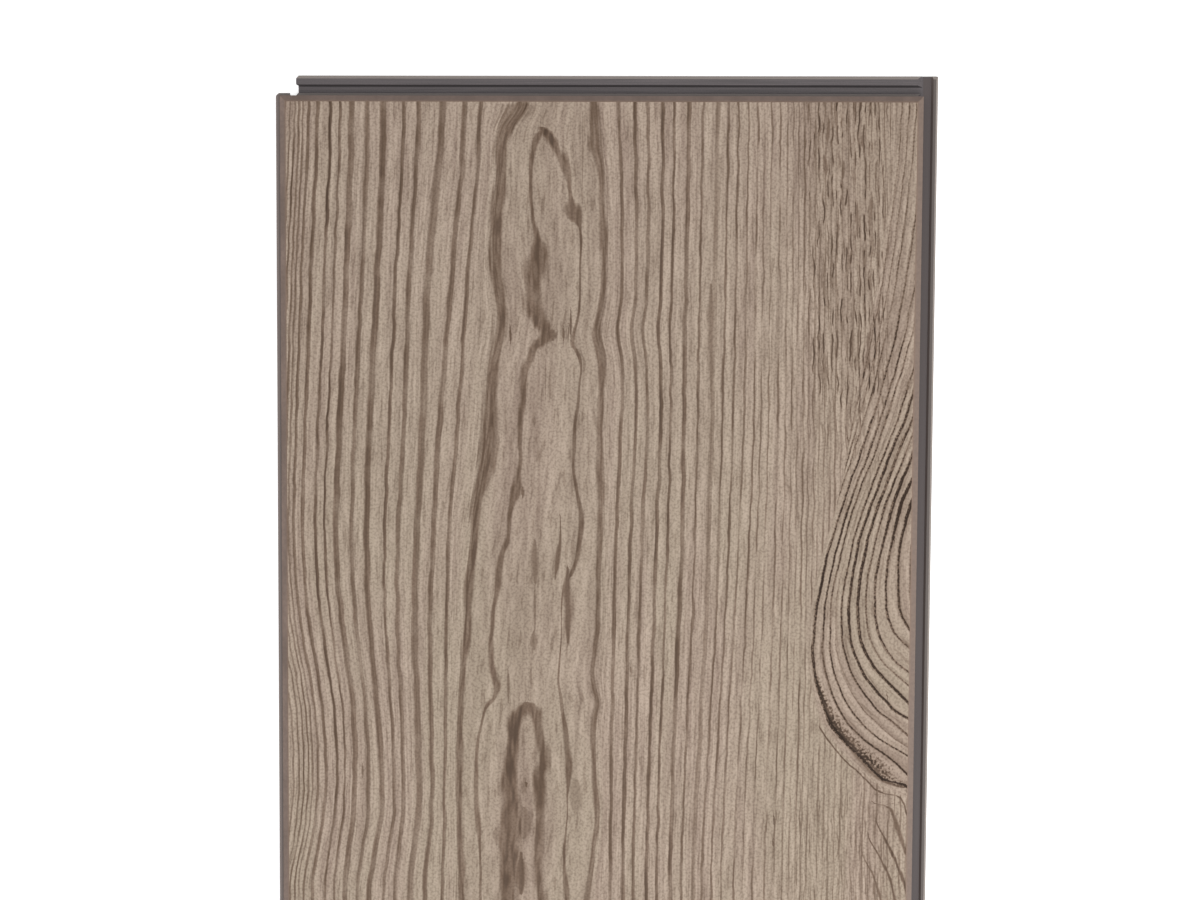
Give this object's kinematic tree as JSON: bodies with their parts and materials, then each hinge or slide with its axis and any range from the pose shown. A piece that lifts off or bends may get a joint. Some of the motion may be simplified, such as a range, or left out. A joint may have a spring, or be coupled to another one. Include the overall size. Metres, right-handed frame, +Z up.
{
  "type": "pine-decor click floor plank",
  "caption": "Flat rigid floor plank with a pine wood decor, a bevelled face and milled click edges: tongue and locking strip along the sides, hook and strip at the ends.",
  "frame": {"origin": "on the underside, below the middle of the visible face", "axes": "+X across the plank from the tongue to the locking strip, +Y along the plank to the strip end, +Z up out of the face"},
  "size_m": [0.1928, 1.257, 0.0045],
  "materials": {
    "core": "matte",
    "decor": "matte"
  },
  "bodies": {
    "root": {"core_board": "core", "decor_face": "decor"}
  },
  "joints": []
}
